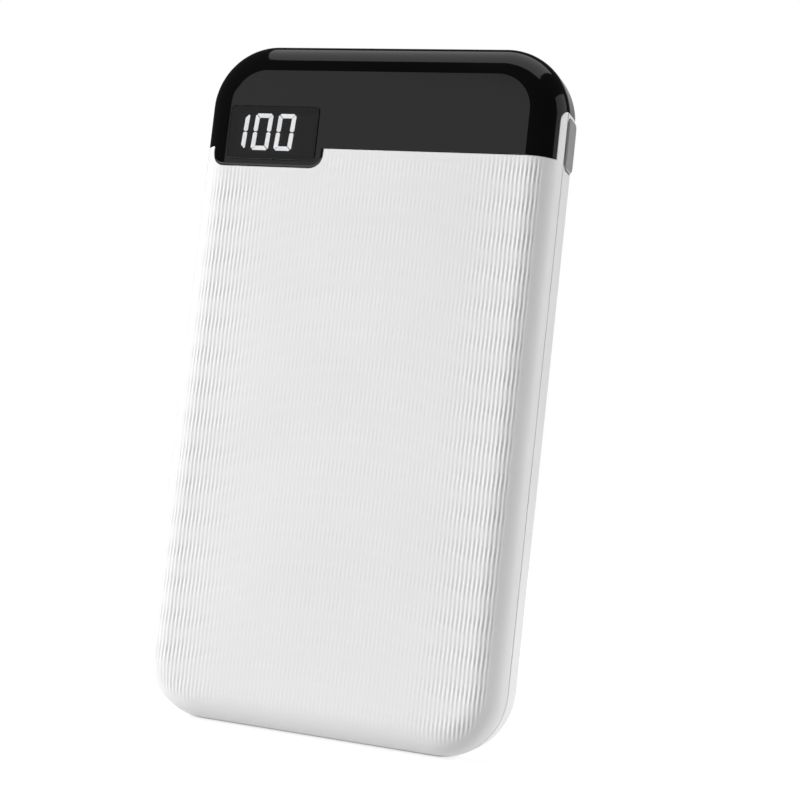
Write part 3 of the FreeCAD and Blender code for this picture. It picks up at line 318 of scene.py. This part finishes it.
def traces(tree, place, shade, height):
    """Copper tracks under the solder mask, and plated holes."""
    cells = node(tree, "ShaderNodeTexVoronoi", {"feature": "DISTANCE_TO_EDGE"}, {"Vector": place, "Scale": 260.0},
                 out="Distance")
    track = 1 - cells.ramp(0.03, 0.09)
    holes = node(tree, "ShaderNodeTexVoronoi", None, {"Vector": place, "Scale": 180.0}, out="Distance")
    plated = 1 - holes.ramp(0.10, 0.14)
    shade = mix_colour(tree, track * 0.6, shade, (0.05, 0.26, 0.10, 1))
    return mix_colour(tree, plated * 0.8, shade, (0.62, 0.48, 0.20, 1)), height + track * 0.00003


def crinkles(tree, place, shade, height):
    """The soft folds of a laminated pouch."""
    folds = node(tree, "ShaderNodeTexVoronoi", {"feature": "SMOOTH_F1"}, {"Vector": place, "Scale": 90.0},
                 out="Distance")
    return shade, height + folds * 0.0002


def pores_with_painted_shade(tree, place, shade, height):
    """Open pore hollows of a foam or a pressed powder, pressed in as bumps and darkened with painted shade."""
    cells = node(tree, "ShaderNodeTexVoronoi", None, {"Vector": place, "Scale": 1800.0}, out="Distance")
    pit_and_shade = 1 - cells.ramp(0.1, 0.5)
    # painted shade: the colour of each hollow is drawn halfway towards black
    return mix_colour(tree, pit_and_shade * 0.5, shade, (0.01, 0.01, 0.01, 1)), height - pit_and_shade * 0.00008


def fibres(tree, place, shade, height):
    """Pressed paper fibres."""
    turned = node(tree, "ShaderNodeMapping", None, {"Vector": place, "Scale": (3.0, 1.0, 0.4)})
    threads = node(tree, "ShaderNodeTexNoise", None, {"Vector": turned, "Scale": 900.0, "Detail": 5.0})
    return mix_colour(tree, threads.ramp(0.4, 0.7) * 0.3, shade, (0.80, 0.82, 0.80, 1)), height + threads * 0.00002


def shell_grain(tree, place, shade, height):
    """The fine spark grain of a moulded shell, finer than the eye can part."""
    sparks = node(tree, "ShaderNodeTexVoronoi", None, {"Vector": place, "Scale": 5200.0}, out="Distance")
    return shade, height + sparks * 0.0000035


def polish(tree, place, shade, height):
    """A polished face's slow, barely seen waviness."""
    waves = node(tree, "ShaderNodeTexNoise", None, {"Vector": place, "Scale": 110.0, "Detail": 1.0})
    return shade, height + waves * 0.000010


def lit_bars():
    """Milky light guides lit from behind, their glow wandering a little in tint and brightness in patches."""
    made = bpy.data.materials.new("lit_segments")
    made.use_nodes = True
    tree = made.node_tree
    tree.nodes.clear()
    place = node(tree, "ShaderNodeTexCoord", out="Object")
    cloud = node(tree, "ShaderNodeTexNoise", None, {"Vector": place, "Scale": 900.0, "Detail": 2.0})
    glow = mix_colour(tree, cloud.ramp(0.3, 0.7), (0.86, 0.89, 0.95, 1), (1.0, 1.0, 1.0, 1))
    surface = node(tree, "ShaderNodeBsdfPrincipled", None, {
        "Base Color": (0.8, 0.8, 0.8, 1), "Roughness": 0.5, "Emission Color": glow, "Emission Strength": 8.5})
    node(tree, "ShaderNodeOutputMaterial", None, {"Surface": surface})
    return made


def make_finishes():
    """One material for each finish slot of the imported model."""
    gloss = {"Coat Weight": 0.4, "Coat Roughness": 0.03}
    milky = {"Subsurface Weight": 0.06, "Subsurface Radius": (0.002, 0.002, 0.002), "Subsurface Scale": 0.4}
    return {
        "white_shell": finish("white_shell", (0.80, 0.80, 0.80), 0.42, mottle=0.012, patches=45.0, grain_scale=3500.0,
                              spread=0.06, constants=milky, extra=shell_grain),
        "black_gloss": finish("black_gloss", (0.0025, 0.0025, 0.0028), 0.075, mottle=0.2, patches=80.0, spread=0.03,
                              constants=gloss, extra=polish),
        "smoked_window": finish("smoked_window", (0.002, 0.002, 0.0023), 0.06, mottle=0.2, patches=90.0, spread=0.02,
                                constants=dict(gloss, Alpha=0.7), extra=polish),
        "dark_plastic": finish("dark_plastic", (0.012, 0.012, 0.013), 0.5, mottle=0.1, patches=200.0, grain=0.000006,
                               grain_scale=3200.0),
        "lit_segments": lit_bars(),
        "grey_button": finish("grey_button", (0.30, 0.30, 0.305), 0.36, patches=150.0, grain=0.000004,
                              grain_scale=3200.0, spread=0.06),
        "circuit_board": finish("circuit_board", (0.012, 0.10, 0.045), 0.32, mottle=0.08, patches=90.0, grain=0.000004,
                                grain_scale=2400.0, spread=0.08, extra=traces),
        "screw_steel": brushed("screw_steel", (0.55, 0.55, 0.56), 0.32, along=0),
        "socket_steel": brushed("socket_steel", (0.62, 0.62, 0.63), 0.30, along=2),
        "socket_plastic": finish("socket_plastic", (0.016, 0.016, 0.018), 0.45, mottle=0.08, patches=300.0,
                                 grain=0.000006, grain_scale=3000.0),
        "contact_metal": brushed("contact_metal", (0.80, 0.60, 0.26), 0.24, along=2),
        "ferrite": finish("ferrite", (0.05, 0.048, 0.046), 0.7, mottle=0.15, patches=700.0, grain=0.00001,
                          grain_scale=2600.0, spread=0.08, extra=pores_with_painted_shade),
        "ceramic_chip": finish("ceramic_chip", (0.42, 0.31, 0.21), 0.55, mottle=0.12, patches=900.0, grain=0.000006,
                               grain_scale=3000.0, spread=0.08),
        "cell_pouch": finish("cell_pouch", (0.68, 0.68, 0.70), 0.34, mottle=0.04, grain=0.000006, grain_scale=1800.0,
                             spread=0.10, constants={"Metallic": 1.0}, extra=crinkles),
        "nickel": brushed("nickel", (0.64, 0.62, 0.58), 0.30, along=0),
        "foam": finish("foam", (0.045, 0.045, 0.047), 0.9, mottle=0.15, patches=300.0, grain=0.00002,
                       grain_scale=1500.0, extra=pores_with_painted_shade),
        "insulating_paper": finish("insulating_paper", (0.42, 0.50, 0.46), 0.8, mottle=0.06, patches=120.0,
                                   grain=0.00001, grain_scale=1500.0, spread=0.08, extra=fibres),
        "red_insulation": finish("red_insulation", (0.48, 0.018, 0.014), 0.4, mottle=0.06, patches=200.0,
                                 grain=0.000004, grain_scale=2600.0, spread=0.06),
        "black_insulation": finish("black_insulation", (0.014, 0.014, 0.015), 0.4, mottle=0.1, patches=200.0,
                                   grain=0.000004, grain_scale=2600.0, spread=0.06),
    }


# ================================================================ the ribbed front cover
def named_inputs(tree, sizes):
    tree.interface.new_socket("Cover", in_out="OUTPUT", socket_type="NodeSocketGeometry")
    for name, value in sizes.items():
        kind = "NodeSocketInt" if isinstance(value, int) else "NodeSocketFloat"
        tree.interface.new_socket(name, in_out="INPUT", socket_type=kind)
    tree.interface.new_socket("Finish", in_out="INPUT", socket_type="NodeSocketMaterial")
    inside = tree.nodes.new("NodeGroupInput")
    return {o.name: Wire(tree, o) for o in inside.outputs if o.name}


def wrap_round(tree, across, up, sizes, inset):
    """Lays the flat point (across, up) over the front: flat in the middle, then round the edge.

    The flat middle is a rounded rectangle. A point outside it by some distance goes as far round the edge's arc,
    in the direction in which it lies outside. inset moves the point inwards, square to the surface.
    Returns the point and how far it lies outside the flat middle.
    """
    flat_half = sizes["Half Width"] - sizes["Edge Round"]
    flat_corner = sizes["Corner Radius"] - sizes["Edge Round"]
    corner_side = flat_half - flat_corner
    corner_up = sizes["Edge Round"] + flat_corner
    past_side = (across.size() - corner_side).over(0.0)
    past_low = (corner_up - up).over(0.0)
    past = (past_side * past_side + past_low * past_low).root()
    outside = (past - flat_corner).over(0.0)
    safe = past.over(0.000001)
    turn = outside / sizes["Edge Round"]
    reach = flat_corner.under(past) + (sizes["Edge Round"] - inset) * turn.sine()
    side = across.sign() * (across.size().under(corner_side) + past_side / safe * reach)
    height = up.over(corner_up) - past_low / safe * reach
    deep = sizes["Front Face"] + inset + (sizes["Edge Round"] - inset) * (1 - turn.cosine())
    return side, deep, height, outside


def lowest_point(across, sizes, skin_half):
    """Where a column of the unrolled skin starts, on the rounded corner of its outline."""
    corner_side = sizes["Half Width"] - sizes["Corner Radius"]
    skin_corner = skin_half - corner_side
    past = (across - corner_side).over(0.0)
    return sizes["Corner Radius"] - (skin_corner * skin_corner - past * past).over(0.0).root()


def ease(share):
    """Close steps at both ends of a run from 0 to 1."""
    return share * share * (3 - 2 * share)


def ribbed_solid(tree, sizes):
    """A solid block whose front is the ribbed skin and whose back is the plane where the two covers meet."""
    block = node(tree, "GeometryNodeMeshCube", None, {
        "Size": (2.0, 1.0, 1.0), "Vertices X": sizes["Columns"], "Vertices Y": 2, "Vertices Z": sizes["Rows"]}, "Mesh")
    place = node(tree, "GeometryNodeInputPosition")
    x, y, z = node(tree, "ShaderNodeSeparateXYZ", None, {0: place}, ["X", "Y", "Z"])
    zone_half = sizes["Half Width"] - sizes["Edge Round"] + sizes["Rib Zone"]
    skin_half = sizes["Half Width"] - sizes["Edge Round"] + sizes["Edge Round"] * sizes["Last Turn"]
    beyond = ((x.size() - sizes["Ribbed Share"]) / (1 - sizes["Ribbed Share"])).over(0.0)
    across = (x.size() / sizes["Ribbed Share"]).under(1.0) * zone_half + ease(beyond) * (skin_half - zone_half)
    # the first rows above the lower end stand closer together
    low = lowest_point(across, sizes, skin_half)
    rise = z + 0.5
    start = (rise / sizes["Close Share"]).under(1.0)
    climb = start * start * (2 - start) * sizes["Close Share"] + (rise - sizes["Close Share"]).over(0.0)
    up = low + climb * (sizes["Skin Top"] - low)
    # the ribs swell and swing together, and the columns swing with them
    bead = up / sizes["Bead Length"] * math.tau
    calm = across.ramp(zone_half, zone_half - SWING_STOP)
    wavy = x.sign() * across + bead.sine() * sizes["Rib Swing"] * calm
    _, _, _, outside = wrap_round(tree, wavy, up, sizes, 0.0)
    in_notch = (wavy > sizes["Notch Left"]) * (wavy < sizes["Notch Right"])
    top_edge = sizes["Cap Line"] - in_notch * (sizes["Cap Line"] - sizes["Notch Low"])
    within = outside.ramp(sizes["Rib Zone"] + ZONE_HAIR, sizes["Rib Zone"] - sizes["Rib Fade"])
    ribbed = within * (top_edge - up).ramp(sizes["Lip"] * 0.4, sizes["Lip"] * 2)
    lively = sizes["Calm Share"] + (1 - sizes["Calm Share"]) * across.ramp(sizes["Calm Half"], zone_half)
    swell = (1 - sizes["Bead Share"] + bead.cosine() * sizes["Bead Share"]) * lively
    groove = (0.5 - (across / zone_half * sizes["Ribs Per Half"] * math.tau).cosine() * 0.5) * ribbed * swell
    # the rim rolls in where the two covers meet
    short = sizes["Parting Round"]
    roll = (short - (sizes["Edge Round"] * sizes["Last Turn"] - outside)).over(0.0).under(short)
    rolled = short - (short * short - roll * roll).over(0.0).root()
    side, deep, height, _ = wrap_round(tree, wavy, up, sizes, groove * sizes["Rib Depth"] + rolled)
    front = y < 0.0
    skin = node(tree, "ShaderNodeCombineXYZ", None, {
        "X": side, "Y": deep.under(sizes["Cover Back"]) * front + sizes["Cover Back"] * (1 - front), "Z": height})
    return node(tree, "GeometryNodeSetPosition", None, {"Geometry": block, "Position": skin})


def hollow(tree, sizes):
    """The room inside the cover, as a smooth block one wall smaller that runs out past the back."""
    block = node(tree, "GeometryNodeMeshCube", None, {
        "Size": (2.0, 1.0, 1.0), "Vertices X": ROOM_COLUMNS, "Vertices Y": 2, "Vertices Z": ROOM_ROWS}, "Mesh")
    place = node(tree, "GeometryNodeInputPosition")
    x, y, z = node(tree, "ShaderNodeSeparateXYZ", None, {0: place}, ["X", "Y", "Z"])
    quarter = sizes["Edge Round"] * (math.pi / 2)
    skin_half = sizes["Half Width"] - sizes["Edge Round"] + quarter
    across = x.size() * skin_half
    low = lowest_point(across, sizes, skin_half)
    up = low + (z + 0.5) ** ROOM_CROWDING * (sizes["Skin Top"] + ROOM_SPARE - low)
    side, deep, height, _ = wrap_round(tree, x.sign() * across, up, sizes, sizes["Wall"])
    front = y < 0.0
    wall = node(tree, "ShaderNodeCombineXYZ", None, {
        "X": side, "Y": deep * front + ROOM_BACK * (1 - front), "Z": height})
    return node(tree, "GeometryNodeSetPosition", None, {"Geometry": block, "Position": wall})


def prism(name, outline, axis, start, end):
    """A closed block with the given outline, drawn square to axis 0 (points are y, z) or axis 1 (points are x, z)."""
    def corner(point, along):
        return (along, *point) if axis == 0 else (point[0], along, point[1])
    if axis == 1:
        start, end = end, start      # keeps the faces' outsides outwards
    count = len(outline)
    corners = [corner(p, start) for p in outline] + [corner(p, end) for p in outline]
    faces = [tuple(range(count))[::-1], tuple(range(count, 2 * count))]
    faces += [(i, (i + 1) % count, (i + 1) % count + count, i + count) for i in range(count)]
    data = bpy.data.meshes.new(name)
    data.from_pydata(corners, [], faces)
    data.validate()
    made = bpy.data.objects.new(name, data)
    bpy.context.scene.collection.objects.link(made)
    return made


def arc(centre, radius, start, end, steps=14):
    """Points along an arc, with its angles in degrees."""
    angles = [math.radians(start + (end - start) * i / steps) for i in range(steps + 1)]
    return [(centre[0] + radius * math.cos(a), centre[1] + radius * math.sin(a)) for a in angles]


def cover_cutters():
    """The blocks that trim the cover: in front of the tongue, inside the tongue, and the notch for the display tab."""
    crown = arc((TONGUE_FRONT + TONGUE_ROUND, TONGUE_TOP - TONGUE_ROUND), TONGUE_ROUND, 180, 90)
    ahead = [(-FAR, COVER_TOP), (TONGUE_FRONT, COVER_TOP)] + crown + [(FAR, TONGUE_TOP), (FAR, FAR), (-FAR, FAR)]
    beside = [(-FAR, COVER_TOP), (TONGUE_INNER, COVER_TOP), (TONGUE_INNER, FAR), (-FAR, FAR)]
    low = NOTCH_BOTTOM + NOTCH_ROUND
    left_corner = arc((NOTCH_LEFT + NOTCH_ROUND, low), NOTCH_ROUND, 180, 270)
    right_corner = arc((NOTCH_RIGHT - NOTCH_ROUND, low), NOTCH_ROUND, 270, 360)
    notch = left_corner + right_corner + [(NOTCH_RIGHT, FAR), (NOTCH_LEFT, FAR)]
    return [prism("cut_ahead", ahead, 0, -FAR, FAR), prism("cut_beside", beside, 1, -FAR, FAR),
            prism("cut_notch", notch, 1, -FAR, 0.0)]


def make_ribbed_cover(shell_finish):
    """Builds the front cover in one Geometry Nodes tree, and keeps the result as a plain mesh."""
    columns_half = RIBS_PER_HALF * STEPS_PER_RIB
    skin_top = TONGUE_TOP + SKIN_SPARE
    rows = round(skin_top / ROW_STEP)
    sizes = {
        "Half Width": HALF_WIDTH, "Corner Radius": CORNER_RADIUS, "Edge Round": EDGE_ROUND, "Front Face": FRONT_FACE,
        "Cover Back": COVER_BACK, "Wall": WALL, "Skin Top": skin_top, "Cap Line": COVER_TOP,
        "Notch Left": NOTCH_LEFT - LIP, "Notch Right": NOTCH_RIGHT + LIP, "Notch Low": NOTCH_BOTTOM,
        "Last Turn": math.acos(1 - (COVER_BACK - FRONT_FACE) / EDGE_ROUND),
        "Columns": 2 * (columns_half + BAND_STEPS) + 1, "Rows": rows, "Close Share": CLOSE_ROWS / rows,
        "Ribbed Share": columns_half / (columns_half + BAND_STEPS), "Ribs Per Half": float(RIBS_PER_HALF),
        "Rib Zone": RIB_ZONE, "Rib Depth": RIB_DEPTH, "Rib Fade": RIB_FADE, "Rib Swing": RIB_SWING,
        "Bead Length": BEAD_LENGTH, "Bead Share": BEAD_SHARE, "Lip": LIP,
        "Calm Share": CALM_SHARE, "Calm Half": CALM_HALF, "Parting Round": PARTING_ROUND,
    }
    tree = bpy.data.node_groups.new("ribbed_cover", "GeometryNodeTree")
    wires = named_inputs(tree, sizes)
    solid = ribbed_solid(tree, wires)
    cutters = cover_cutters()
    for cutter in [hollow(tree, wires)] + [
            node(tree, "GeometryNodeObjectInfo", {"transform_space": "RELATIVE"}, {"Object": c}, "Geometry")
            for c in cutters]:
        cut = tree.nodes.new("GeometryNodeMeshBoolean")
        cut.operation, cut.solver = "DIFFERENCE", "MANIFOLD"
        plug_in(tree, cut.inputs["Mesh 1"], solid)
        plug_in(tree, cut.inputs["Mesh 2"], cutter)
        solid = Wire(tree, cut.outputs["Mesh"])
    bend = node(tree, "GeometryNodeInputMeshEdgeAngle", out="Unsigned Angle")
    crisp = node(tree, "FunctionNodeCompare", {"data_type": "FLOAT", "operation": "GREATER_THAN"},
                 {"A": bend, "B": CRISP_ANGLE})
    smooth = node(tree, "GeometryNodeSetShadeSmooth", {"domain": "FACE"}, {"Geometry": solid, "Shade Smooth": True})
    edged = node(tree, "GeometryNodeStoreNamedAttribute", {"data_type": "BOOLEAN", "domain": "EDGE"},
                 {"Geometry": smooth, "Name": "sharp_edge", "Value": crisp})
    real = node(tree, "GeometryNodeRealizeInstances", None, {"Geometry": edged})
    coated = node(tree, "GeometryNodeSetMaterial", None, {"Geometry": real, "Material": wires["Finish"]})
    node(tree, "NodeGroupOutput", None, {"Cover": coated})

    host = bpy.data.objects.new("ribbed_cover_host", bpy.data.meshes.new("ribbed_cover_host"))
    bpy.context.scene.collection.objects.link(host)
    modifier = host.modifiers.new("ribs", "NODES")
    modifier.node_group = tree
    for item in tree.interface.items_tree:
        if item.in_out == "INPUT":
            modifier[item.identifier] = shell_finish if item.name == "Finish" else sizes[item.name]
    shape = bpy.data.meshes.new_from_object(host.evaluated_get(bpy.context.evaluated_depsgraph_get()))
    host.modifiers.clear()
    for helper in [host] + cutters:
        bpy.data.objects.remove(helper)
    cover = bpy.data.objects.new("front_cover_ribbed", shape)
    bpy.context.scene.collection.objects.link(cover)
    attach(cover, "casing")
    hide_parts("front_cover")


# ================================================================ assembly
place_camera()
light_studio()
lay_floor()
finishes = make_finishes()
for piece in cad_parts.values():
    for holder in piece.material_slots:
        holder.material = finishes[holder.material.name.split(".")[0]]
make_ribbed_cover(finishes["white_shell"])
